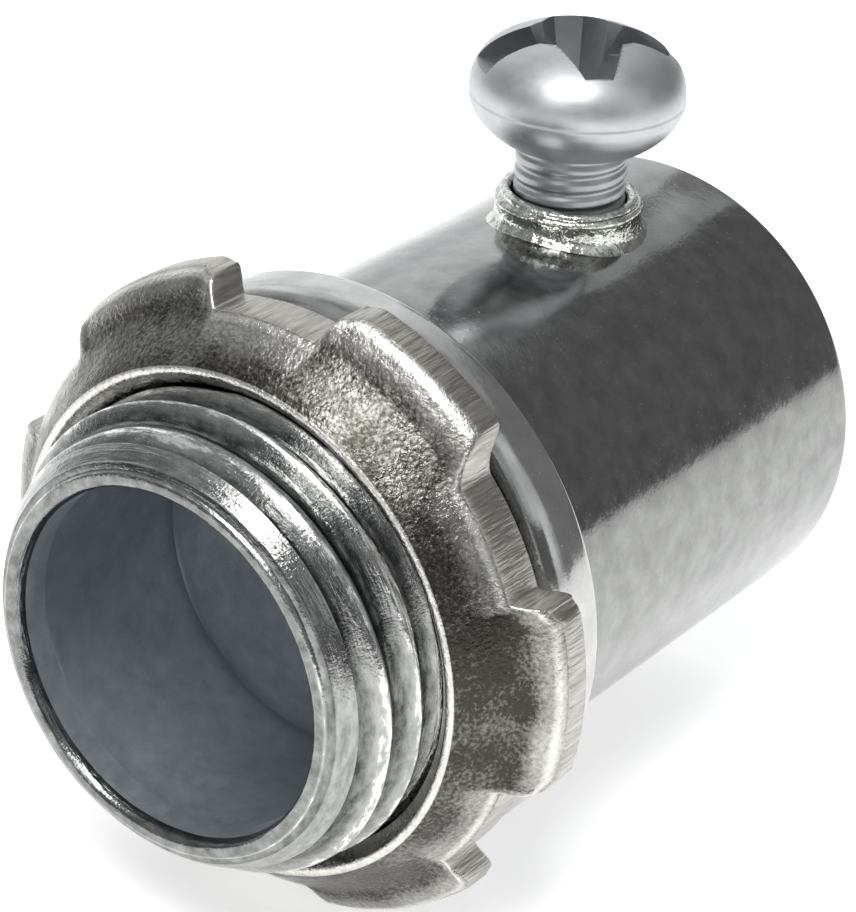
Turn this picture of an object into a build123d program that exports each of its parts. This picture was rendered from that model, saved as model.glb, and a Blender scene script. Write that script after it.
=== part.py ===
from build123d import *
import os
from math import cos, radians, sin

# Set-screw connector for 1/2 inch EMT conduit: a drawn steel body, its locknut and its set screw.
# Millimetres. The bore's axis is Y: the threaded nose points to -Y and the conduit enters from +Y.
# The origin is on that axis, in the plane of the shoulder's face that meets a box wall.
# +Z is up, through the set screw.

# ---------------------------------------------------------------- driving dimensions
# Body
NOSE_LENGTH = 10.0          # shoulder face to the mouth of the nose
BARREL_END = 27.5           # shoulder face to the conduit end
THROAT_RADIUS = 7.9         # clear way for the wires, inside the rolled lip
LIP_LAND = (-9.6, -8.6)     # the lip's narrowest stretch
NOSE_BORE_RADIUS = 8.6      # behind the lip
SOCKET_RADIUS = 9.15        # takes conduit of 17.93 mm outside diameter
SOCKET_STOP = 1.2           # the conduit butts on the step here
BARREL_RADIUS = 11.5
FLANGE_RADIUS = 13.35
FLANGE_BACK = 2.9           # rear edge of the flange's rim
SHOULDER_RADIUS = 12.0      # flat part of the shoulder's face
BEVEL_FOOT = (9.0, -9.6)    # radius and place where the nose's bevelled end starts
# The bevel from there back over the threads: radius and distance from the mouth at each bend.
BEVEL = ((9.62, 1.1), (10.08, 1.8), (10.45, 2.4), (11.67, 8.0))

# Nose thread, 1/2-14 straight
NOSE_THREAD_RADIUS = 10.67
NOSE_ROOT_RADIUS = 9.65
NOSE_PITCH = 25.4 / 14
THREAD_START = 2.41         # first thread's distance from the shoulder face

# Set screw, 32 threads to the inch, with its collar
SCREW_Y = 18.8
SCREW_RADIUS = 2.62
SCREW_ROOT_RADIUS = 2.3
SCREW_PITCH = 25.4 / 32
SCREW_TIP = 9.45            # height of the tip above the bore's axis, as delivered
SCREW_NECK = 15.3           # height where the shank meets the head
HEAD_RADIUS = 4.97
HEAD_RIM = 17.5
HEAD_TOP = 20.6
SLOT_TURN = 46.0            # direction of the slot, degrees from X
SLOT_WIDTH = 2.2
SLOT_DEPTH = 2.3
CROSS_WIDTH = 1.3
CROSS_SPAN = 7.4
CROSS_DEPTH = 3.2
CROSS_TAPER = 9.0           # degrees, on each wall
COLLAR_RADIUS = 3.4
COLLAR_TOP = 13.0
COLLAR_FILLET = 0.9

# Locknut
NUT_BACK = -1.0             # rear face, next to the shoulder
NUT_THICKNESS = 2.0
NUT_FRONT = -5.4            # front edge of the dished middle
NUT_MOUTH_RADIUS = 11.5
LUG_RADIUS = 15.0
LUG_BEND = 0.6              # how far the lugs' tips are bent back
NOTCH_RADIUS = 13.5
LUG_COUNT = 6
FIRST_NOTCH = 32.0          # degrees from X, turning towards Z
NOTCH_HALF_ANGLE = 11.5     # at the notch's floor
NOTCH_FLARE = 5.5           # what each side opens by, at the lugs' tips

RUNNING_GAP = 0.05          # radial room between each thread's crest and its plain bore


def revolved(outline):
    """Turn a closed outline, drawn as radius and height along Y, into a solid about the Y axis."""
    return revolve(make_face(Curve() + outline), Axis.Y)


def closed(*points):
    return Polyline(*points, close=True)


def thread_ridge(pitch, root_radius, crest_radius, height, crest_width):
    """One right-hand ridge about +Z, from z = 0, with its foot sunk into the core."""
    sunk = 0.3
    foot = 0.46 * pitch
    path = Helix(pitch=pitch, height=height, radius=root_radius)
    profile = closed((-sunk, -foot), (0, -foot * 0.92), (crest_radius - root_radius, -crest_width / 2),
                     (crest_radius - root_radius, crest_width / 2), (0, foot * 0.92), (-sunk, foot))
    section = Plane(origin=path @ 0, x_dir=(1, 0, 0), z_dir=path % 0) * make_face(profile)
    return sweep(section, path=path, is_frenet=True)


# ---------------------------------------------------------------- connector body
def nose_envelope():
    """The rounded end of the nose: what is left of the threads there."""
    slope = [BEVEL_FOOT] + [(radius, back - NOSE_LENGTH) for radius, back in BEVEL]
    behind = -0.2               # just clear of the shoulder
    corners = [(0, BEVEL_FOOT[1]), *slope, (slope[-1][0], behind), (0, behind)]
    return revolved([Line(a, b) for a, b in zip(corners, corners[1:] + corners[:1])])


def body_core():
    """The drawn tube without its threads: rolled lip, nose, shoulder flange, barrel."""
    mouth = -NOSE_LENGTH
    outline = [
        Line((NOSE_BORE_RADIUS, SOCKET_STOP), (NOSE_BORE_RADIUS, LIP_LAND[1] + 0.6)),
        Line((NOSE_BORE_RADIUS, LIP_LAND[1] + 0.6), (THROAT_RADIUS, LIP_LAND[1])),
        Line((THROAT_RADIUS, LIP_LAND[1]), (THROAT_RADIUS, LIP_LAND[0])),
        ThreePointArc((THROAT_RADIUS, LIP_LAND[0]), (8.02, mouth + 0.12), (8.35, mouth)),
        ThreePointArc((8.35, mouth), (8.75, mouth + 0.1), (9.0, mouth + 0.35)),
        Line((9.0, mouth + 0.35), (9.15, mouth + 0.5)),
        Line((9.15, mouth + 0.5), (NOSE_ROOT_RADIUS, mouth + 1)),
        Line((NOSE_ROOT_RADIUS, mouth + 1), (NOSE_ROOT_RADIUS, 0)),
        Line((NOSE_ROOT_RADIUS, 0), (SHOULDER_RADIUS, 0)),
        ThreePointArc((SHOULDER_RADIUS, 0), (12.98, 0.6), (FLANGE_RADIUS, 1.8)),
        Line((FLANGE_RADIUS, 1.8), (FLANGE_RADIUS, FLANGE_BACK)),
        Line((FLANGE_RADIUS, FLANGE_BACK), (FLANGE_RADIUS - 0.35, FLANGE_BACK + 0.1)),
        ThreePointArc((FLANGE_RADIUS - 0.35, FLANGE_BACK + 0.1), (11.95, 3.3), (BARREL_RADIUS, 4.1)),
        Line((BARREL_RADIUS, 4.1), (BARREL_RADIUS, BARREL_END - 0.45)),
        ThreePointArc((BARREL_RADIUS, BARREL_END - 0.45), (11.37, BARREL_END - 0.13), (11.05, BARREL_END)),
        Line((11.05, BARREL_END), (SOCKET_RADIUS + 0.4, BARREL_END)),
        Line((SOCKET_RADIUS + 0.4, BARREL_END), (SOCKET_RADIUS, BARREL_END - 0.4)),
        Line((SOCKET_RADIUS, BARREL_END - 0.4), (SOCKET_RADIUS, SOCKET_STOP)),
        Line((SOCKET_RADIUS, SOCKET_STOP), (NOSE_BORE_RADIUS, SOCKET_STOP)),
    ]
    return revolved(outline)


def make_connector_body():
    core = body_core()

    # The collar is drawn out of the barrel's wall and flares into it.
    boss_height = COLLAR_TOP - (SOCKET_RADIUS + 0.6)
    boss = Pos(0, SCREW_Y, SOCKET_RADIUS + 0.6) * extrude(Circle(COLLAR_RADIUS), boss_height)
    core = core + boss
    foot = [e for e in core.edges() if abs(e.center().Y - SCREW_Y) < 0.5 and 10 < e.center().Z < 11.6
            and e.bounding_box().size.X > COLLAR_RADIUS and e.bounding_box().size.Y > COLLAR_RADIUS
            and e.bounding_box().size.Y < 3 * COLLAR_RADIUS]
    core = fillet(foot, COLLAR_FILLET)
    lip = [e for e in core.edges() if abs(e.center().Z - COLLAR_TOP) < 0.01]
    core = fillet(lip, 0.25)
    hole = Pos(0, SCREW_Y, 0) * extrude(Circle(SCREW_RADIUS + RUNNING_GAP), COLLAR_TOP + 5)
    core = core - hole

    # A right-hand ridge from the shoulder to the nose's rounded end. Rot(90) lays +Z along -Y.
    thread_length = NOSE_LENGTH - THREAD_START + 0.7
    ridge = thread_ridge(NOSE_PITCH, NOSE_ROOT_RADIUS, NOSE_THREAD_RADIUS, thread_length, 0.42)
    ridge = Pos(0, -THREAD_START, 0) * Rot(90, 0, 0) * ridge
    return core + (ridge & nose_envelope())


# ---------------------------------------------------------------- locknut
def notch_cutter(angle):
    """A prism along Y that leaves the notch's floor round and flares its sides."""
    floor, tip = NOTCH_HALF_ANGLE, NOTCH_HALF_ANGLE + NOTCH_FLARE
    outer = LUG_RADIUS + 2

    def at(radius, turn):
        return (radius * cos(radians(angle + turn)), radius * sin(radians(angle + turn)))

    outline = [
        ThreePointArc(at(NOTCH_RADIUS, -floor), at(NOTCH_RADIUS, 0), at(NOTCH_RADIUS, floor)),
        Line(at(NOTCH_RADIUS, floor), at(outer, tip)),
        Line(at(outer, tip), at(outer, -tip)),
        Line(at(outer, -tip), at(NOTCH_RADIUS, -floor)),
    ]
    return extrude(Plane((0, 0, 0), x_dir=(1, 0, 0), z_dir=(0, -1, 0)) * make_face(Curve() + outline), 8, both=True)


def make_locknut():
    plate_front = NUT_BACK - NUT_THICKNESS
    bore = NOSE_THREAD_RADIUS + RUNNING_GAP
    outline = [
        Line((bore, NUT_BACK - 0.9), (bore, NUT_FRONT + 1.1)),
        Line((bore, NUT_FRONT + 1.1), (NUT_MOUTH_RADIUS - 0.15, NUT_FRONT + 0.1)),
        ThreePointArc((NUT_MOUTH_RADIUS - 0.15, NUT_FRONT + 0.1), (NUT_MOUTH_RADIUS + 0.02, NUT_FRONT),
                      (NUT_MOUTH_RADIUS + 0.25, NUT_FRONT + 0.12)),
        Line((NUT_MOUTH_RADIUS + 0.25, NUT_FRONT + 0.12), (13.35, plate_front - 0.25)),
        ThreePointArc((13.35, plate_front - 0.25), (13.75, plate_front + 0.12), (14.3, plate_front + 0.4)),
        ThreePointArc((14.3, plate_front + 0.4), (LUG_RADIUS - 0.1, plate_front + 0.95),
                      (LUG_RADIUS, plate_front + 1.4)),
        Line((LUG_RADIUS, plate_front + 1.4), (LUG_RADIUS - 0.15, NUT_BACK + LUG_BEND)),
        Line((LUG_RADIUS - 0.15, NUT_BACK + LUG_BEND), (13.75, NUT_BACK)),
        Line((13.75, NUT_BACK), (12.4, NUT_BACK)),
        Line((12.4, NUT_BACK), (bore, NUT_BACK - 0.9)),
    ]
    nut = revolved(outline)
    for step in range(LUG_COUNT):
        nut = nut - notch_cutter(FIRST_NOTCH + step * 360 / LUG_COUNT)
    return nut


# ---------------------------------------------------------------- set screw
def make_set_screw():
    shank_end = SCREW_NECK - 0.3
    shoulder = (4.3, 19.3)      # the dome's steep side turns into its flat crown here
    outline = [
        Line((0, SCREW_TIP), (1.8, SCREW_TIP)),
        Line((1.8, SCREW_TIP), (SCREW_ROOT_RADIUS, SCREW_TIP + 0.45)),
        Line((SCREW_ROOT_RADIUS, SCREW_TIP + 0.45), (SCREW_ROOT_RADIUS, shank_end)),
        Line((SCREW_ROOT_RADIUS, shank_end), (SCREW_RADIUS, SCREW_NECK)),
        ThreePointArc((SCREW_RADIUS, SCREW_NECK), (4.12, 15.95), (HEAD_RADIUS, HEAD_RIM)),
        ThreePointArc((HEAD_RADIUS, HEAD_RIM), (4.85, 18.45), shoulder),
        ThreePointArc(shoulder, (2.3, 20.28), (0, HEAD_TOP)),
        Line((0, HEAD_TOP), (0, SCREW_TIP)),
    ]
    screw = Rot(90, 0, 0) * revolved(outline)

    ridge = thread_ridge(SCREW_PITCH, SCREW_ROOT_RADIUS, SCREW_RADIUS, SCREW_NECK - SCREW_TIP - 1.0, 0.2)
    screw = screw + Pos(0, 0, SCREW_TIP + 0.5) * ridge

    # Combination recess: a slot right across the dome and a tapered cross.
    slot = Pos(0, 0, HEAD_TOP - SLOT_DEPTH + 5) * Box(3 * HEAD_RADIUS, SLOT_WIDTH, 10)
    cross = Pos(0, 0, HEAD_TOP) * extrude(Rectangle(CROSS_WIDTH, CROSS_SPAN) + Rectangle(CROSS_SPAN, CROSS_WIDTH),
                                          -CROSS_DEPTH, taper=CROSS_TAPER)
    return Pos(0, SCREW_Y, 0) * (screw - Rot(0, 0, SLOT_TURN) * (slot + cross))


os.makedirs("parts", exist_ok=True)
nodes = {
    "connector_body": make_connector_body(),
    "locknut": make_locknut(),
    "set_screw": make_set_screw(),
}
for name, shape in nodes.items():
    shape.label = name
    export_step(shape, f"parts/{name}.step")
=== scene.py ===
import math

import bpy
import numpy as np
from mathutils import Matrix, Vector


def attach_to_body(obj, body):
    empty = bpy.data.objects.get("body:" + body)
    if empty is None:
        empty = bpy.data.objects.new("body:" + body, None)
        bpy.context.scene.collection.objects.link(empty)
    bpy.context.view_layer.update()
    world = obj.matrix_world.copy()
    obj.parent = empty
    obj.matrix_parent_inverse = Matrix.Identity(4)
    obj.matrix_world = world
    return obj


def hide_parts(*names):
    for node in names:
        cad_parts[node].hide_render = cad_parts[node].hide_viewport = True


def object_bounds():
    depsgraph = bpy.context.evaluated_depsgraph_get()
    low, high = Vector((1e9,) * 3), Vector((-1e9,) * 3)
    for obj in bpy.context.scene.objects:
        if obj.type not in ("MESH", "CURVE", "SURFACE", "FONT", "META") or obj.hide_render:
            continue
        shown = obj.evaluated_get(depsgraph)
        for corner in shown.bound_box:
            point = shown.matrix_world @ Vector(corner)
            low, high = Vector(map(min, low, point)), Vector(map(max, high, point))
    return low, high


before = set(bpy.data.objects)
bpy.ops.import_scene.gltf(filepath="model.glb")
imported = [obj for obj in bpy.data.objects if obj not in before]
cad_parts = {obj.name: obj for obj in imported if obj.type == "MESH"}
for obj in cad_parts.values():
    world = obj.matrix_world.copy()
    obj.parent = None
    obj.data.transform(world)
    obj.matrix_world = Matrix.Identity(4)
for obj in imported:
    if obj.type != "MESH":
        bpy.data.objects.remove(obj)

# Looks for the set-screw connector: detailed meshes over the three CAD nodes, zinc-plated finishes,
# a pale floor and soft studio light. Sizes below are in millimetres; MM turns them into metres.
# Angles about the bore run from +X towards +Z.

MM = 0.001
cad_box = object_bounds()

# ---------------------------------------------------------------- sizes
NOSE_ROOT, NOSE_CREST, NOSE_PITCH, THREAD_START = 9.65, 10.66, 25.4 / 14, 2.41
BARREL_R, SOCKET_R, BARREL_END, FLANGE_R = 11.5, 9.15, 27.5, 13.35
SCREW_Y, SCREW_ROOT, SCREW_CREST, SCREW_PITCH = 18.8, 2.5, 2.61, 25.4 / 32
SCREW_TIP, SCREW_NECK, HEAD_TOP = 9.45, 15.3, 20.58
HOLE_R, COLLAR_R, COLLAR_TOP = 2.67, 3.4, 13.0
COLLAR_CLEARANCE = 0.22     # the collar stops this far short, clear of the screw's head when driven in
SHELL_HOLE_R = 3.5          # the hole in the shell that the collar stands in
NUT_BACK, NUT_FRONT, LUG_R, NOTCH_R = -1.0, -5.4, 14.98, 13.5
NUT_BORE = 10.74            # the nut's thread is cut outwards from here, clear of the nose's crests
FIRST_NOTCH, LUG_COUNT = 32.0, 6
SLOT_TURN, SLOT_HALF = 46.0, 1.1
SLOT_DEPTH, CROSS_DEPTH = 1.7, 3.2

# How bright the metal's colour is, from 0 to 1: the plating's own tone, with painted shade in hollows and
# creases and painted highlights on ridges, rims and corners.
BODY_WEAR, LIP_WEAR, FLANGE_WEAR = 0.29, 0.44, 0.60
SHANK_WEAR, HEAD_WEAR, RECESS_WEAR = 0.30, 0.56, 0.8
NUT_WEAR, NUT_MOUTH_HIGHLIGHT = 0.35, 0.95

# The nose tapers in to the lip; no thread stands outside this radius.
TAPER_Y = (-10.0, -9.6, -9.2, -8.7, -8.2, -7.7, -7.2, -6.8, 0.0)
TAPER_R = (8.9, 9.05, 9.4, 9.74, 10.06, 10.38, 10.58, 10.66, 10.66)


# ---------------------------------------------------------------- shaping helpers
def smoothstep(x, start, end):
    t = np.clip((x - start) / (end - start), 0, 1)
    return t * t * (3 - 2 * t)


def bump(x, centre, half_width):
    """1 at the centre, falling smoothly to 0 at half_width away."""
    return 1 - smoothstep(np.abs(x - centre), 0, half_width)


def ripple(seed, *axes):
    """Smooth irregularity of about -1..1: waves of random direction and phase over the given coordinates."""
    rng = np.random.default_rng(seed)
    total = 0
    for _ in range(7):
        total = total + np.sin(sum(rng.uniform(-1, 1) * a for a in axes) + rng.uniform(0, 2 * math.pi))
    return total / 3.5


def curve(start, control, end, count):
    """Points on a quadratic curve, without its end point."""
    t = np.linspace(0, 1, count, endpoint=False)[:, None]
    start, control, end = (np.array(p, float) for p in (start, control, end))
    return (1 - t) ** 2 * start + 2 * (1 - t) * t * control + t ** 2 * end


def straight(start, end, count):
    t = np.linspace(0, 1, count, endpoint=False)[:, None]
    return np.array(start, float) * (1 - t) + np.array(end, float) * t


def wide(profile, columns):
    """One profile of (radius, place) points repeated for every column."""
    return np.repeat(profile[:, None, :], columns, axis=1)


def thread_height(turn, pitch, crest_width):
    """0 in the root and 1 on the crest; turn counts threads and is whole on each crest."""
    away = np.abs(turn - np.maximum(np.round(turn), 0)) * pitch
    return smoothstep(0.47 * pitch - away, 0, 0.47 * pitch - crest_width / 2)


def around_bore(theta, grid):
    r, y = grid[..., 0], grid[..., 1]
    return np.stack([r * np.cos(theta), y, r * np.sin(theta)], -1)


def around_screw(theta, grid):
    r, z = grid[..., 0], grid[..., 1]
    return np.stack([r * np.cos(theta), SCREW_Y + r * np.sin(theta), z], -1)


def full_turn(columns):
    return np.linspace(0, 2 * math.pi, columns, endpoint=False)[None, :]


def row(theta, radius, height):
    """One row of (radius, height) points, a point for each angle in theta."""
    return np.stack([radius + 0 * theta, height + 0 * theta], -1)


def mesh_object(name, corners, faces):
    """A mesh object in the scene, from corners in millimetres."""
    mesh = bpy.data.meshes.new(name)
    mesh.from_pydata([[c * MM for c in corner] for corner in corners], [], faces)
    obj = bpy.data.objects.new(name, mesh)
    bpy.context.scene.collection.objects.link(obj)
    return obj


def set_wear_and_painted_light(mesh, values):
    mesh.attributes.new("wear_and_painted_light", "FLOAT", "POINT").data.foreach_set("value", values)


def grid_object(name, points, ring=True, row_slots=None, materials=(), wear_and_painted_light=None):
    """A mesh through a grid of points: columns join up, and rows join up for a ring or get capped."""
    rows, cols = points.shape[:2]
    i, j = np.meshgrid(np.arange(rows if ring else rows - 1), np.arange(cols), indexing="ij")
    nxt_i, nxt_j = (i + 1) % rows, (j + 1) % cols
    quads = np.stack([i * cols + j, i * cols + nxt_j, nxt_i * cols + nxt_j, nxt_i * cols + j], -1)
    faces = quads.reshape(-1, 4).tolist()
    if not ring:
        faces.append(list(range(cols))[::-1])
        faces.append(list(range((rows - 1) * cols, rows * cols)))
    obj = mesh_object(name, points.reshape(-1, 3).tolist(), faces)
    mesh = obj.data
    mesh.update()
    mesh.polygons.foreach_set("use_smooth", [True] * len(mesh.polygons))
    for material in materials:
        mesh.materials.append(material)
    if wear_and_painted_light is not None:
        set_wear_and_painted_light(mesh, wear_and_painted_light.ravel())
    if row_slots is not None:
        per_face = np.repeat(np.array(row_slots)[: (rows if ring else rows - 1)], cols).tolist()
        mesh.polygons.foreach_set("material_index", per_face + [0] * (len(faces) - len(per_face)))
    return obj


def make_normals_face_out(obj):
    """Flips the whole closed mesh if its signed volume is negative."""
    mesh = obj.data
    mesh.calc_loop_triangles()
    co = np.array([v.co for v in mesh.vertices])
    tri = np.array([t.vertices for t in mesh.loop_triangles])
    volume = np.einsum("ij,ij->i", co[tri[:, 0]], np.cross(co[tri[:, 1]], co[tri[:, 2]])).sum()
    if volume < 0:
        mesh.flip_normals()


def cut(obj, cutter):
    """Takes the cutter's volume out of obj for good."""
    modifier = obj.modifiers.new("cut", "BOOLEAN")
    modifier.operation, modifier.solver, modifier.object = "DIFFERENCE", "EXACT", cutter
    evaluated = obj.evaluated_get(bpy.context.evaluated_depsgraph_get())
    obj.data = bpy.data.meshes.new_from_object(evaluated)
    obj.modifiers.clear()
    bpy.data.objects.remove(cutter)


# ---------------------------------------------------------------- connector body
def nose_shape(theta, y):
    """Radius of the threaded nose, and its colour level with painted shade in the thread's roots and painted
    highlight on its crests.
    """
    turn = (-y - THREAD_START) / NOSE_PITCH - theta / (2 * math.pi)
    ridge = 0.5 + 0.5 * np.cos(2 * math.pi * turn)
    height = np.where(turn < 0, 1, ridge) ** 1.2
    height = height * (1 + 0.12 * ripple(3, 9 * theta, 2.2 * y) * (turn > 0.5))
    limit = np.interp(y, TAPER_Y, TAPER_R) + 0.025 * ripple(5, 7 * theta, 3 * y)
    # The cone next to the lip is plain; behind it the thread is rolled into its surface.
    plain = smoothstep(-y, 8.75, 8.95)
    root = np.minimum(NOSE_ROOT + 0.25, limit - 0.45 * (1 - plain))
    crest = np.minimum(NOSE_CREST, limit)
    # One crest is struck flat over a short stretch near the top.
    flat = bump(np.degrees(theta), 86, 22) * bump(y, -8.3, 0.7)
    r = np.where(plain > 0.99, limit, root + (crest - root) * np.maximum(height, plain))
    # The second value is a colour level and it is painted light: low in the thread's roots as painted shade,
    # high on its crests as painted highlight; the plain cone by the lip sits at a middle level.
    wear_and_painted_light = 0.12 + 0.88 * np.where(plain > 0.5, 0.62, np.clip(height, 0, 1) ** 1.5)
    return np.minimum(r - 0.16 * flat * height, limit), wear_and_painted_light


def make_body(materials):
    cols = 400
    theta = full_turn(cols)
    sections, slots, wear_and_light_rows = [], [], []

    def add(grid, wear_and_painted_light=BODY_WEAR, inside=False):
        sections.append(grid)
        slots.extend([1 if inside else 0] * len(grid))
        wear_and_light_rows.append(wear_and_painted_light + np.zeros(grid.shape[:2]))

    # Rolled lip: its land inside the mouth, then round to the start of the cone.
    land = np.vstack([
        straight((7.9, -8.2), (7.9, -8.9), 6),
        straight((7.9, -8.9), (7.93, -9.4), 4),
    ])
    add(wide(land, cols), inside=True)
    lip = np.vstack([
        curve((7.93, -9.4), (7.97, -9.97), (8.32, -10.0), 12),
        curve((8.32, -10.0), (8.64, -10.0), (8.72, -9.82), 7),
        curve((8.72, -9.82), (8.76, -9.74), (8.9, -9.76), 4),
    ])
    lip = wide(lip, cols)
    lip[..., 0] += 0.012 * ripple(11, 14 * theta, 9 * lip[..., 0], 5 * lip[..., 1])
    # A thin bright line round the lip's rounded edge is a painted highlight.
    add(lip, LIP_WEAR + 0.5 * bump(lip[..., 0], 8.66, 0.08))

    y = np.linspace(-9.66, -0.12, 190)[:, None] + 0 * theta
    radius, wear_and_painted_light = nose_shape(theta + 0 * y, y)
    # The crease between the lip and the cone is darkened, as painted shade.
    add(np.stack([radius, y], -1), wear_and_painted_light * smoothstep(y, -9.72, -9.58))

    flange = np.vstack([
        straight((NOSE_ROOT, 0.0), (12.0, 0.0), 6),
        curve((12.0, 0.0), (13.3, 0.0), (13.33, 1.7), 12),
        straight((13.33, 1.7), (13.33, 2.62), 5),
        curve((13.33, 2.62), (13.33, 2.9), (13.02, 2.96), 5),
        curve((13.02, 2.96), (11.62, 3.15), (BARREL_R, 4.2), 12),
    ])
    flange = wide(flange, cols)
    unevenness = 0.02 * ripple(13, 3 * theta, 1.3 * flange[..., 1])
    flange[..., 0] += unevenness * smoothstep(flange[..., 0], 11.6, 12.4)
    flange[..., 0] = np.minimum(flange[..., 0], FLANGE_R)
    add(flange, FLANGE_WEAR)

    barrel = wide(straight((BARREL_R, 4.2), (BARREL_R, BARREL_END - 0.45), 110), cols)
    add(barrel)
    rim = np.vstack([
        curve((BARREL_R, BARREL_END - 0.45), (BARREL_R, BARREL_END), (11.05, BARREL_END), 7),
        straight((11.05, BARREL_END), (9.55, BARREL_END), 4),
        straight((9.55, BARREL_END), (SOCKET_R, BARREL_END - 0.4), 3),
    ])
    add(wide(rim, cols))
    inner = np.vstack([
        straight((SOCKET_R, BARREL_END - 0.4), (SOCKET_R, 2.0), 60),
        curve((SOCKET_R, 2.0), (SOCKET_R, 1.3), (8.6, 1.1), 8),
        straight((8.6, 1.1), (8.6, -7.4), 16),
        curve((8.6, -7.4), (8.55, -8.0), (7.9, -8.2), 6),
    ])
    inner = wide(inner, cols)
    # The corner where the socket's wall steps in is painted darker, as painted shade.
    add(inner, BODY_WEAR * (1 - bump(inner[..., 1], 1.3, 1.1)), inside=True)

    grid = np.concatenate(sections)
    points = around_bore(theta, grid)

    # The wall is slightly dished round the collar, and uneven all over.
    x, yy, z = points[..., 0], points[..., 1], points[..., 2]
    radius = np.hypot(x, z)
    outside = (radius > 10.5) & (yy > 4.2) & (yy < BARREL_END - 0.4) & (z > 0)
    away = np.hypot(x, yy - SCREW_Y)
    dish = 0.10 * smoothstep(away, 7.5, 3.9) * outside
    wave = 0.012 * ripple(17, 2.2 * theta, 0.22 * yy) * (radius > 10.5) * (yy > 4.2)
    scale = (1 - (dish + np.maximum(wave, 0)) / radius)[..., None]
    points = points * np.concatenate([scale, np.ones_like(scale), scale], -1)

    body = grid_object("body_shell", points, row_slots=slots, materials=materials,
                       wear_and_painted_light=np.concatenate(wear_and_light_rows))
    make_normals_face_out(body)
    cut(body, screw_cylinder(SHELL_HOLE_R, 7.0, 14.0))
    return body


def screw_cylinder(radius, low, high):
    """A closed cylinder round the screw's axis, to cut with."""
    cols = 96
    profile = np.array([(radius, low), (radius, high)], float)
    cutter = grid_object("cutter", around_screw(full_turn(cols), wide(profile, cols)), ring=False)
    make_normals_face_out(cutter)
    return cutter


def make_collar(materials):
    """The drawn collar: a ragged double lip round the screw, flaring into the barrel's wall."""
    cols = 240
    theta = full_turn(cols)
    flare = np.linspace(0, 1, 16)[:, None] + 0 * theta
    foot = COLLAR_R + 0.35 * flare
    x = foot * np.cos(theta)
    surface = np.sqrt(BARREL_R ** 2 - x ** 2)
    rise = 0.45 * (1 - np.sqrt(np.maximum(1 - (1 - flare) ** 2, 0)))
    foot_z = surface + rise - 0.085 * smoothstep(flare, 0.5, 1) - 0.02
    foot_z = foot_z + 0.05 * ripple(21, 11 * theta, 3 * flare) * (1 - flare)
    ragged = 0.10 * ripple(23, 5 * theta) + 0.05 * ripple(24, 17 * theta)
    tilt = -0.12 * np.cos(theta) + 0.04
    top = COLLAR_TOP - COLLAR_CLEARANCE + np.minimum(0.6 * ragged + tilt, 0.07)
    low_lip = COLLAR_TOP - 0.62 + 0.5 * ragged

    rows = [
        row(theta, HOLE_R, np.sqrt((SOCKET_R + 0.03) ** 2 - (HOLE_R * np.cos(theta)) ** 2)),
        row(theta, HOLE_R, 11.0),
        row(theta, HOLE_R, top - 0.35),
        row(theta, HOLE_R + 0.05, top - 0.12),
        row(theta, HOLE_R + 0.17, top - 0.02),
        row(theta, HOLE_R + 0.32, top),
        row(theta, HOLE_R + 0.48, top - 0.05),
        row(theta, HOLE_R + 0.58 + 0.4 * ragged, top - 0.17),
        row(theta, HOLE_R + 0.56 + 0.3 * ragged, top - 0.30),
        row(theta, HOLE_R + 0.60, low_lip + 0.12),
        row(theta, COLLAR_R - 0.02, low_lip + 0.06),
        row(theta, COLLAR_R + 0.08 + 0.3 * ragged, low_lip - 0.05),
        row(theta, COLLAR_R + 0.08 + 0.3 * ragged, low_lip - 0.18),
        row(theta, COLLAR_R - 0.02, low_lip - 0.32),
    ]
    collar = np.concatenate([np.array(rows)[:, 0], np.stack([foot, foot_z], -1)[1:]])
    inner_x = 3.6 * np.cos(theta)
    under = [
        row(theta, 3.66, np.sqrt(BARREL_R ** 2 - (3.66 * np.cos(theta)) ** 2) - 0.4),
        row(theta, 3.6, np.sqrt(BARREL_R ** 2 - inner_x ** 2) - 0.8),
        row(theta, 3.6, np.sqrt((SOCKET_R + 0.03) ** 2 - inner_x ** 2)),
    ]
    grid = np.concatenate([collar, np.array(under)[:, 0]])
    obj = grid_object("collar", around_screw(theta, grid), materials=materials)
    make_normals_face_out(obj)
    return obj


# ---------------------------------------------------------------- locknut
def off_notch(theta):
    """Degrees from the middle of the nearest notch, give or take the nut's own unevenness."""
    step = 360 / LUG_COUNT
    off = np.abs((np.degrees(theta) - FIRST_NOTCH + step / 2) % step - step / 2)
    return off + 0.7 * ripple(31, 2 * theta)


def lug_shape(theta):
    """Outer radius of the nut at each angle. One corner of one lug is battered back."""
    off = off_notch(theta)
    battered = (np.degrees(theta) > FIRST_NOTCH) & (np.degrees(theta) < FIRST_NOTCH + 30)
    lug = np.where(battered, smoothstep(off, 11.0, 18.5), smoothstep(off, 11.0, 13.6))
    radius = NOTCH_R + (LUG_R - NOTCH_R) * lug
    # The lugs' corners are rounded and their edges aren't quite round with the bore.
    radius = radius - 0.28 * lug * bump(off, 13.6, 3.4) + 0.08 * ripple(33, 4 * theta) * lug
    return np.minimum(radius, LUG_R)


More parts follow.
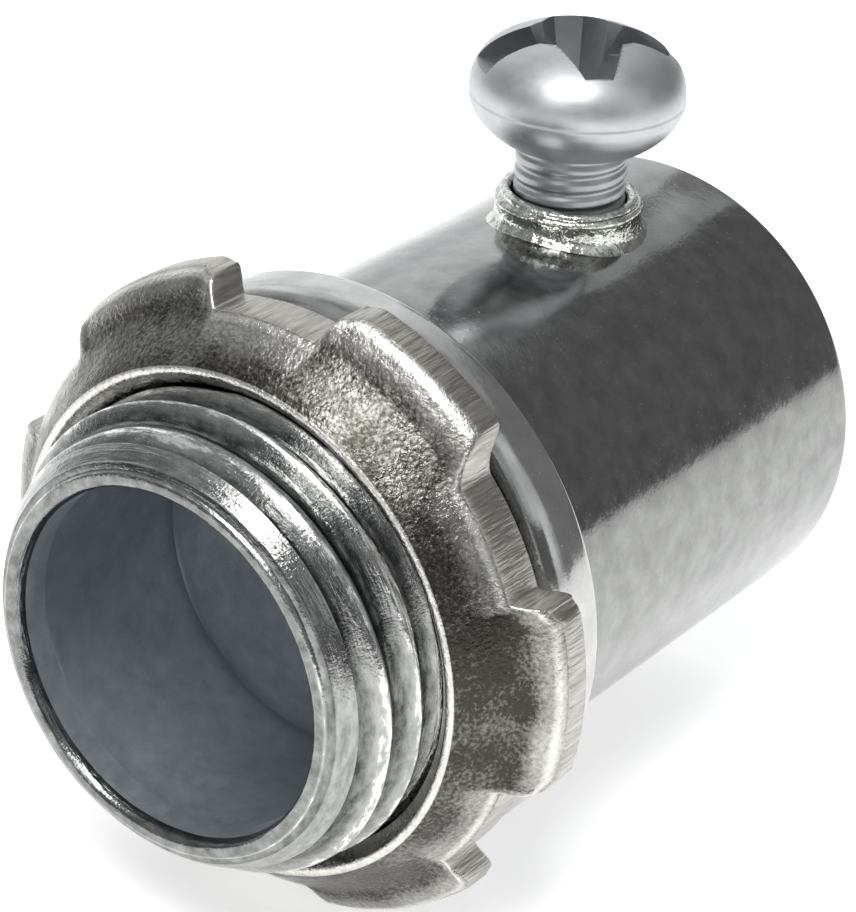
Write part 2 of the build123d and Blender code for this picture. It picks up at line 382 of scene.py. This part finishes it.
def make_locknut(materials):
    base = np.linspace(0, 360, 420, endpoint=False)
    extra = []
    for k in range(LUG_COUNT):
        for side in (-1, 1):
            centre = FIRST_NOTCH + k * 360 / LUG_COUNT + side * 12.4
            extra.append(np.linspace(centre - 2.2, centre + 2.2 + 3 * (side > 0), 30) % 360)
    degrees = np.unique(np.round(np.concatenate([base] + extra), 3))
    theta = np.radians(degrees)[None, :]
    outer = lug_shape(theta)

    # Front face: radius of the rim, the dished cone, the bend and the lugs' bent-back tips.
    face_r = (11.72, 12.0, 12.6, 13.1, 13.45, 13.8, 14.2, 14.6, 14.9, 15.0)
    face_y = (-5.28, -4.98, -4.18, -3.55, -3.18, -2.95, -2.72, -2.42, -2.05, -1.7)
    back_r = (12.4, 13.6, 14.0, 14.85, 15.0)
    back_y = (NUT_BACK, NUT_BACK, -0.88, -0.42, -0.45)
    share = np.linspace(0, 1, 44)[:, None]
    r_front = face_r[0] + (outer - 0.16 - face_r[0]) * share
    y_front = np.interp(r_front, face_r, face_y)
    lumps = 0.05 * ripple(35, 6 * theta, 1.4 * r_front) + 0.03 * ripple(36, 15 * theta, 3.1 * r_front)
    burr = (0.13 + 0.10 * ripple(39, 3 * theta)) * bump(off_notch(theta), 13.0, 2.2)
    y_front = y_front + lumps * smoothstep(r_front, 11.8, 12.6) - burr * smoothstep(r_front, 13.2, 13.9)
    edge_front, edge_back = np.interp(outer, face_r, face_y), np.interp(outer, back_r, back_y)

    wall = [
        row(theta, outer - 0.05, edge_front + 0.02),
        row(theta, outer, edge_front + 0.14),
        row(theta, outer, edge_front * 0.66 + edge_back * 0.34),
        row(theta, outer, edge_front * 0.33 + edge_back * 0.67),
        row(theta, outer, edge_back - 0.14),
        row(theta, outer - 0.05, edge_back - 0.04),
        row(theta, outer - 0.16, edge_back),
    ]
    back_share = np.linspace(0, 1, 14)[:, None]
    r_back = (outer - 0.16) + (12.4 - (outer - 0.16)) * back_share[1:]
    y_back = np.interp(r_back, back_r, back_y)

    mouth_lift = 0.07 * ripple(37, 2 * theta)
    y_bore = np.linspace(-2.6, -4.6, 40)[:, None] + 0 * theta
    turn = (-y_bore - THREAD_START) / NOSE_PITCH - theta / (2 * math.pi)
    groove = 0.5 * thread_height(turn + 0.5, NOSE_PITCH, 0.3)
    bore = NUT_BORE + groove * smoothstep(y_bore, -2.6, -3.0) * smoothstep(y_bore, -4.6, -4.2)
    mouth = [
        row(theta, 10.78, -4.75),
        row(theta, 11.18, -5.12 + mouth_lift),
        row(theta, 11.30, -5.30 + mouth_lift),
        row(theta, 11.40, -5.38 + 0.4 * mouth_lift),
        row(theta, 11.50, np.maximum(NUT_FRONT + 0.02 + 0.4 * mouth_lift, NUT_FRONT)),
        row(theta, 11.60, -5.37 + 0.4 * mouth_lift),
        row(theta, 11.68, -5.32),
    ]
    behind_thread = [row(theta, 12.1, -1.2), row(theta, 10.8, -1.9), row(theta, NUT_BORE, -2.2)]
    grid = np.concatenate([
        np.array(mouth)[:, 0],
        np.stack([r_front, y_front], -1),
        np.array(wall)[:, 0],
        np.stack([r_back, y_back], -1),
        np.array(behind_thread)[:, 0],
        np.stack([bore, y_bore], -1),
    ])
    before_wall = len(mouth) + len(r_front)
    wear_and_painted_light = np.full(grid.shape[:2], NUT_WEAR)
    # The mouth's rim is a painted highlight.
    wear_and_painted_light[: len(mouth)] = NUT_MOUTH_HIGHLIGHT
    # The outer part of the face and the lugs' corners get painted highlights.
    outer_face_highlight = smoothstep(r_front, outer - 1.3, outer - 0.5)
    corner = smoothstep(r_front, outer - 0.42, outer - 0.22)
    face_wear_and_highlights = 0.10 + 0.34 * outer_face_highlight + 0.10 * ripple(40, 3 * theta, r_front) + 0.45 * corner
    wear_and_painted_light[len(mouth):before_wall] = face_wear_and_highlights
    slots = [1 if before_wall <= i < before_wall + len(wall) - 1 else 0 for i in range(len(grid))]
    obj = grid_object("locknut_shape", around_bore(theta, grid), row_slots=slots, materials=materials,
                      wear_and_painted_light=np.clip(wear_and_painted_light, 0, 1))
    make_normals_face_out(obj)
    return obj


# ---------------------------------------------------------------- set screw
def make_screw(materials):
    cols = 256
    theta = full_turn(cols)
    tip = wide(np.vstack([
        straight((0.02, SCREW_TIP), (1.75, SCREW_TIP), 4),
        straight((1.75, SCREW_TIP), (SCREW_ROOT, SCREW_TIP + 0.5), 4),
    ]), cols)
    z = np.linspace(SCREW_TIP + 0.5, SCREW_NECK - 0.3, 110)[:, None] + 0 * theta
    turn = (z - SCREW_TIP - 0.5) / SCREW_PITCH - theta / (2 * math.pi)
    fade = smoothstep(z, SCREW_TIP + 0.3, SCREW_TIP + 0.9) * smoothstep(z, SCREW_NECK - 0.3, SCREW_NECK - 0.7)
    shank = SCREW_ROOT + (SCREW_CREST - SCREW_ROOT) * thread_height(turn, SCREW_PITCH, 0.2) * fade
    head_r = (SCREW_ROOT, 2.62, 3.05, 3.53, 4.13, 4.59, 4.87, 4.955, 4.965)
    head_z = (15.0, 15.1, 15.22, 15.42, 15.9, 16.4, 16.95, 17.3, 17.42)
    dome_r = (4.93, 4.955, 4.93, 4.85, 4.66, 4.33, 3.85, 3.2, 2.4, 1.3, 0.02)
    dome_z = (17.50, 17.75, 18.05, 18.4, 18.85, 19.3, 19.68, 20.02, 20.3, 20.5, HEAD_TOP)
    under, over = smooth_profile(head_r, head_z), smooth_profile(dome_r, dome_z)
    grid = np.concatenate([tip, np.stack([shank, z], -1), wide(under, cols), wide(over, cols)])
    wear_and_painted_light = np.where(grid[..., 1] < SCREW_NECK, SHANK_WEAR, HEAD_WEAR)
    obj = grid_object("screw_shape", around_screw(theta, grid), ring=False, materials=materials, wear_and_painted_light=wear_and_painted_light)
    make_normals_face_out(obj)
    cut(obj, recess_cutter("slot"))
    cut(obj, recess_cutter("cross"))
    return obj


def smooth_profile(radii, heights):
    """40 points along a profile, with its corners evened out; its ends stay put."""
    t, knots = np.linspace(0, 1, 40), np.linspace(0, 1, len(radii))
    points = np.stack([np.interp(t, knots, radii), np.interp(t, knots, heights)], -1)
    for _ in range(3):
        points[1:-1] = (points[:-2] + 2 * points[1:-1] + points[2:]) / 4
    return points


def recess_cutter(kind):
    """The head's slot, or its tapered cross, as one closed block standing in the dome."""
    if kind == "slot":
        outline = [(-7, -SLOT_HALF), (7, -SLOT_HALF), (7, SLOT_HALF), (-7, SLOT_HALF)]
        low, high, shrink = HEAD_TOP - SLOT_DEPTH, HEAD_TOP + 1.0, 1.0
    else:
        # The last arm points between +X and the nose. It runs out further than the others, as a
        # compromise, because the screw stands upright.
        arm_root, arm_tip, arm_reaches = 1.55, 0.72, (3.0, 3.0, 3.0, 4.4)
        low, high, shrink = HEAD_TOP - CROSS_DEPTH, HEAD_TOP + 0.6, 0.62
        outline = []
        for quarter, arm_reach in enumerate(arm_reaches):
            arm = [(arm_reach, -arm_tip), (arm_reach, arm_tip), (arm_root, arm_root)]
            c, q = round(math.cos(quarter * math.pi / 2)), round(math.sin(quarter * math.pi / 2))
            outline += [(c * px - q * py, q * px + c * py) for px, py in arm]
    turn = math.radians(SLOT_TURN)
    corners = []
    for height, scale in ((low, shrink), (high, 1.08)):
        for px, py in outline:
            px, py = px * scale, py * (scale if kind == "cross" else 1)
            corners.append((px * math.cos(turn) - py * math.sin(turn),
                            SCREW_Y + px * math.sin(turn) + py * math.cos(turn), height))
    n = len(outline)
    faces = [list(range(n))[::-1], list(range(n, 2 * n))]
    faces += [[i, (i + 1) % n, n + (i + 1) % n, n + i] for i in range(n)]
    obj = mesh_object("cutter", corners, faces)
    set_wear_and_painted_light(obj.data, [RECESS_WEAR] * len(corners))
    make_normals_face_out(obj)
    return obj


# ---------------------------------------------------------------- finishes
class Finish:
    """A Principled material with small helpers for its node tree. Noise works in millimetres."""

    def __init__(self, name, metallic=1.0):
        self.material = bpy.data.materials.new(name)
        self.material.use_nodes = True
        self.nodes, self.links = self.material.node_tree.nodes, self.material.node_tree.links
        self.shader = self.nodes["Principled BSDF"]
        self.shader.inputs["Metallic"].default_value = metallic
        coords = self.nodes.new("ShaderNodeTexCoord")
        scale = self.nodes.new("ShaderNodeVectorMath")
        scale.operation = "SCALE"
        scale.inputs["Scale"].default_value = 1 / MM
        self.links.new(coords.outputs["Object"], scale.inputs[0])
        self.place = scale.outputs[0]

    def stretch(self, factors):
        node = self.nodes.new("ShaderNodeVectorMath")
        node.operation = "MULTIPLY"
        node.inputs[1].default_value = factors
        self.links.new(self.place, node.inputs[0])
        return node.outputs[0]

    def noise(self, scale, detail=3.0, rough=0.55, place=None):
        node = self.nodes.new("ShaderNodeTexNoise")
        node.inputs["Scale"].default_value = scale
        node.inputs["Detail"].default_value = detail
        node.inputs["Roughness"].default_value = rough
        self.links.new(place or self.place, node.inputs["Vector"])
        return node.outputs["Fac"]

    def ramp(self, value, low, high, out_low=0.0, out_high=1.0):
        node = self.nodes.new("ShaderNodeMapRange")
        for name, v in (("From Min", low), ("From Max", high), ("To Min", out_low), ("To Max", out_high)):
            node.inputs[name].default_value = v
        self.links.new(value, node.inputs["Value"])
        return node.outputs["Result"]

    def math(self, operation, a, b):
        node = self.nodes.new("ShaderNodeMath")
        node.operation = operation
        for socket, v in zip(node.inputs, (a, b)):
            if isinstance(v, (int, float)):
                socket.default_value = v
            else:
                self.links.new(v, socket)
        return node.outputs[0]

    def mix(self, share, a, b):
        node = self.nodes.new("ShaderNodeMix")
        node.data_type = "RGBA"
        self.links.new(share, node.inputs["Factor"])
        for socket, v in ((node.inputs[6], a), (node.inputs[7], b)):
            if isinstance(v, tuple):
                socket.default_value = (*v, 1.0)
            else:
                self.links.new(v, socket)
        return node.outputs[2]

    def axis(self, index):
        node = self.nodes.new("ShaderNodeSeparateXYZ")
        self.links.new(self.place, node.inputs[0])
        return node.outputs[index]

    def wear_and_painted_light(self):
        node = self.nodes.new("ShaderNodeAttribute")
        node.attribute_name = "wear_and_painted_light"
        return node.outputs["Fac"]

    def set(self, name, value):
        socket = self.shader.inputs[name]
        if isinstance(value, (int, float)):
            socket.default_value = value
        elif isinstance(value, tuple):
            socket.default_value = (*value, 1.0)
        else:
            self.links.new(value, socket)

    def bumps(self, *layers):
        """Each layer is a height and its depth in millimetres."""
        normal = None
        for height, depth in layers:
            node = self.nodes.new("ShaderNodeBump")
            node.inputs["Strength"].default_value = 1.0
            node.inputs["Distance"].default_value = depth * MM
            self.links.new(height, node.inputs["Height"])
            if normal is not None:
                self.links.new(normal, node.inputs["Normal"])
            normal = node.outputs["Normal"]
        self.links.new(normal, self.shader.inputs["Normal"])


def body_finish():
    f = Finish("zinc_body_plating")
    on_nose = f.ramp(f.axis(1), -0.5, 0.5, 1.0, 0.0)
    on_barrel = f.math("SUBTRACT", 1.0, on_nose)
    blotch = f.ramp(f.noise(0.8, 5, 0.65), 0.35, 0.7, -0.06, 0.06)
    streaks = f.ramp(f.noise(1.0, 5, 0.65, place=f.stretch((1.1, 4.0, 1.1))), 0.36, 0.64, -0.22, 0.16)
    patchy = f.math("ADD", f.math("MULTIPLY", blotch, on_barrel), f.math("MULTIPLY", streaks, on_nose))
    worn_and_lit = f.math("ADD", f.wear_and_painted_light(), patchy)
    # On the nose the colour level gives painted shade in the thread's roots and painted highlights on its
    # crests, near white on the brightest.
    nose_shaded_to_lit = f.mix(worn_and_lit, (0.05, 0.054, 0.05), (0.46, 0.465, 0.455))
    plated = f.mix(worn_and_lit, (0.05, 0.054, 0.05), (0.80, 0.805, 0.79))
    nose_with_painted_light = f.mix(f.ramp(worn_and_lit, 0.86, 1.02), nose_shaded_to_lit, (0.86, 0.86, 0.85))
    f.set("Base Color", f.mix(on_nose, plated, nose_with_painted_light))
    rough = f.ramp(f.noise(1.6, 4), 0.3, 0.75, 0.09, 0.17)
    speck = f.ramp(f.noise(5.5, 2, 0.6), 0.60, 0.72, 0.0, 0.15)
    f.set("Roughness", f.math("ADD", rough, speck))
    fine = f.noise(6.0, 3, 0.6)
    rolled = f.noise(1.0, 3, place=f.stretch((0.5, 8.0, 0.5)))
    f.bumps((fine, 0.0022), (f.noise(1.8, 3), 0.006), (f.math("MULTIPLY", rolled, on_nose), 0.035),
            (f.math("MULTIPLY", fine, on_nose), 0.018))
    return f.material


def bore_finish():
    f = Finish("zinc_body_bore", metallic=0.8)
    slate = f.mix(f.ramp(f.noise(0.9, 5, 0.65), 0.3, 0.7), (0.33, 0.36, 0.385), (0.45, 0.485, 0.515))
    # The bore turns dark where the colour level drops at the socket's step: painted shade.
    f.set("Base Color", f.mix(f.ramp(f.wear_and_painted_light(), 0.0, 0.29), (0.20, 0.225, 0.25), slate))
    f.set("Roughness", f.ramp(f.noise(2.0, 3), 0.3, 0.7, 0.38, 0.52))
    f.bumps((f.noise(6.0, 3), 0.008))
    return f.material


def collar_finish():
    f = Finish("zinc_body_collar")
    f.set("Base Color", f.mix(f.ramp(f.noise(1.6, 4), 0.4, 0.65), (0.42, 0.43, 0.39), (0.74, 0.75, 0.70)))
    f.set("Roughness", f.ramp(f.noise(3.0, 4), 0.3, 0.7, 0.08, 0.26))
    f.bumps((f.noise(5.0, 3), 0.02), (f.noise(1.7, 3), 0.16))
    return f.material


def nut_finish():
    """Grainy stamped steel, with painted highlights along its rim and corners."""
    f = Finish("zinc_locknut_plating")
    patches = f.ramp(f.noise(0.45, 4), 0.38, 0.66, -0.10, 0.10)
    flecks = f.ramp(f.noise(5.5, 3, 0.65), 0.35, 0.65, -0.14, 0.12)
    worn_and_lit = f.math("ADD", f.math("ADD", f.wear_and_painted_light(), patches), flecks)
    f.set("Base Color", f.mix(worn_and_lit, (0.05, 0.048, 0.041), (0.70, 0.69, 0.65)))
    f.set("Roughness", f.ramp(f.noise(1.3, 4), 0.35, 0.7, 0.22, 0.38))
    f.bumps((f.noise(5.0, 3, 0.6), 0.05), (f.noise(1.4, 3), 0.035))
    return f.material


def nut_edge_finish():
    """The sheared edges of the nut: paler, with fine lines along the bore's axis."""
    f = Finish("zinc_locknut_edge")
    lines = f.noise(1.0, 3, 0.6, place=f.stretch((6.0, 0.5, 6.0)))
    f.set("Base Color", f.mix(f.ramp(lines, 0.35, 0.65), (0.30, 0.29, 0.26), (0.50, 0.49, 0.45)))
    f.set("Roughness", 0.32)
    f.bumps((lines, 0.06))
    return f.material


def screw_finish():
    f = Finish("zinc_screw_plating")
    worn_and_lit = f.math("ADD", f.wear_and_painted_light(), f.ramp(f.noise(0.7, 4), 0.35, 0.65, -0.06, 0.06))
    f.set("Base Color", f.mix(worn_and_lit, (0.26, 0.27, 0.285), (0.74, 0.75, 0.77)))
    f.set("Roughness", f.ramp(f.noise(2.5, 4), 0.3, 0.7, 0.38, 0.46))
    f.bumps((f.noise(6.0, 2), 0.0015), (f.noise(0.8, 3), 0.012))
    return f.material


def attach(obj, body, replaced=None):
    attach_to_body(obj, body)
    if replaced:
        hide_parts(replaced)


shell = make_body([body_finish(), bore_finish()])
collar = make_collar([collar_finish()])
locknut = make_locknut([nut_finish(), nut_edge_finish()])
screw = make_screw([screw_finish()])
for obj in (shell, screw):
    obj.data.set_sharp_from_angle(angle=math.radians(38))
attach(shell, "connector", "connector_body")
attach(collar, "connector")
attach(locknut, "locknut", "locknut")
attach(screw, "screw", "set_screw")


# ---------------------------------------------------------------- floor, light, camera
FLAG_DISTANCE, SOFTBOX_DISTANCE = 420.0, 500
FLOOR_HALF = 3000
CAMERA_PLACE = (72.632, -96.971, 69.438)
CAMERA_AZIMUTH, CAMERA_ELEVATION, CAMERA_ROLL = 34.503, 27.483, 3.634


def plain_material(name, colour, emission=0.0):
    material = bpy.data.materials.new(name)
    material.use_nodes = True
    shader = material.node_tree.nodes["Principled BSDF"]
    shader.inputs["Base Color"].default_value = (*colour, 1.0)
    shader.inputs["Roughness"].default_value = 0.9
    shader.inputs["Specular IOR Level"].default_value = 0.0
    if emission:
        shader.inputs["Emission Color"].default_value = (*colour, 1.0)
        shader.inputs["Emission Strength"].default_value = emission
    return material


def stage_panel(name, corners, faces, material):
    obj = mesh_object(name, corners, faces)
    obj.data.materials.append(material)


def dark_flag(name, first, last, high, shade):
    """A dark card curved round the set, from one bearing to another. Bearings turn from +Y towards +X."""
    turns = [math.radians(a) for a in np.linspace(first, last, 16)]
    corners = [(FLAG_DISTANCE * math.sin(a), FLAG_DISTANCE * math.cos(a), z)
               for z in (floor_z, high) for a in turns]
    n = len(turns)
    faces = [[i, i + 1, n + i + 1, n + i] for i in range(n - 1)]
    stage_panel(name, corners, faces, plain_material(name + "_cloth", (shade, shade, shade)))


def softbox(name, direction, size, power):
    """A soft lamp facing the set from the given direction."""
    data = bpy.data.lights.new(name, "AREA")
    data.shape, data.size, data.size_y, data.energy = "RECTANGLE", size[0] * MM, size[1] * MM, power
    obj = bpy.data.objects.new(name, data)
    bpy.context.scene.collection.objects.link(obj)
    towards = Vector(direction).normalized()
    obj.location = towards * SOFTBOX_DISTANCE * MM
    obj.rotation_mode = "QUATERNION"
    obj.rotation_quaternion = towards.to_track_quat("Z", "Y")


def light_from_sky(tree):
    """Soft light all round in broad uneven panels, with a brighter patch behind on the left and one
    on the right."""

    def node(kind, **inputs):
        made = tree.nodes.new(kind)
        for name, value in inputs.items():
            made.inputs[name.replace("_", " ")].default_value = value
        return made

    bearing = tree.nodes.new("ShaderNodeTexCoord").outputs["Generated"]

    def lobe(direction, start, full, strength):
        dot = node("ShaderNodeVectorMath")
        dot.operation = "DOT_PRODUCT"
        dot.inputs[1].default_value = Vector(direction).normalized()
        share = node("ShaderNodeMapRange", From_Min=start, From_Max=full, To_Min=0.0, To_Max=strength)
        tree.links.new(bearing, dot.inputs[0])
        tree.links.new(dot.outputs["Value"], share.inputs["Value"])
        return share.outputs["Result"]

    panels = node("ShaderNodeTexNoise", Scale=3.2, Detail=1.0)
    tree.links.new(bearing, panels.inputs["Vector"])
    total = node("ShaderNodeMapRange", From_Min=0.40, From_Max=0.60, To_Min=0.24, To_Max=0.52)
    tree.links.new(panels.outputs["Fac"], total.inputs["Value"])
    total = total.outputs["Result"]
    for part in (lobe((-0.70, 0.70, 0.25), 0.62, 0.90, 0.75), lobe((0.93, 0.05, 0.45), 0.82, 0.97, 0.45)):
        add = node("ShaderNodeMath")
        tree.links.new(total, add.inputs[0])
        tree.links.new(part, add.inputs[1])
        total = add.outputs[0]
    background = tree.nodes["Background"]
    background.inputs["Color"].default_value = (0.97, 0.98, 1.0, 1.0)
    tree.links.new(total, background.inputs["Strength"])


def make_camera():
    azimuth, elevation, roll = map(math.radians, (CAMERA_AZIMUTH, CAMERA_ELEVATION, CAMERA_ROLL))
    back = Vector((math.sin(azimuth) * math.cos(elevation), -math.cos(azimuth) * math.cos(elevation),
                   math.sin(elevation)))
    level = Vector((0, 0, 1)).cross(back).normalized()
    upright = back.cross(level)
    right = level * math.cos(roll) + upright * math.sin(roll)
    up = upright * math.cos(roll) - level * math.sin(roll)
    data = bpy.data.cameras.new("camera")
    data.lens, data.sensor_width, data.clip_start = 126.03, 36, 0.005
    obj = bpy.data.objects.new("camera", data)
    bpy.context.scene.collection.objects.link(obj)
    place = Matrix((right, up, back)).transposed().to_4x4()
    place.translation = Vector(CAMERA_PLACE) * MM
    obj.matrix_world = place
    bpy.context.scene.camera = obj


floor_z = cad_box[0].z / MM
floor_corners = [(x * FLOOR_HALF, y * FLOOR_HALF, floor_z) for x, y in ((-1, -1), (1, -1), (1, 1), (-1, 1))]
stage_panel("floor", floor_corners, [[0, 1, 2, 3]],
            plain_material("pale_floor", (0.9, 0.9, 0.9), emission=0.62))
dark_flag("back_flag", -4, 62, 370, 0.235)
dark_flag("grey_flag", -24, -4, 285, 0.42)
dark_flag("side_flag", 88, 128, 150, 0.12)
dark_flag("camera_flag", 138, 153, 420, 0.08)
softbox("front_box", (0.18, -0.42, 0.89), (200, 220), 1.8)
softbox("left_box", (0.07, -0.83, 0.55), (60, 120), 0.16)
softbox("top_box", (-0.05, 0.05, 1.0), (260, 260), 0.26)
make_camera()

world = bpy.data.worlds.new("studio")
bpy.context.scene.world = world
world.use_nodes = True
light_from_sky(world.node_tree)
bpy.context.scene.view_settings.view_transform = "Standard"
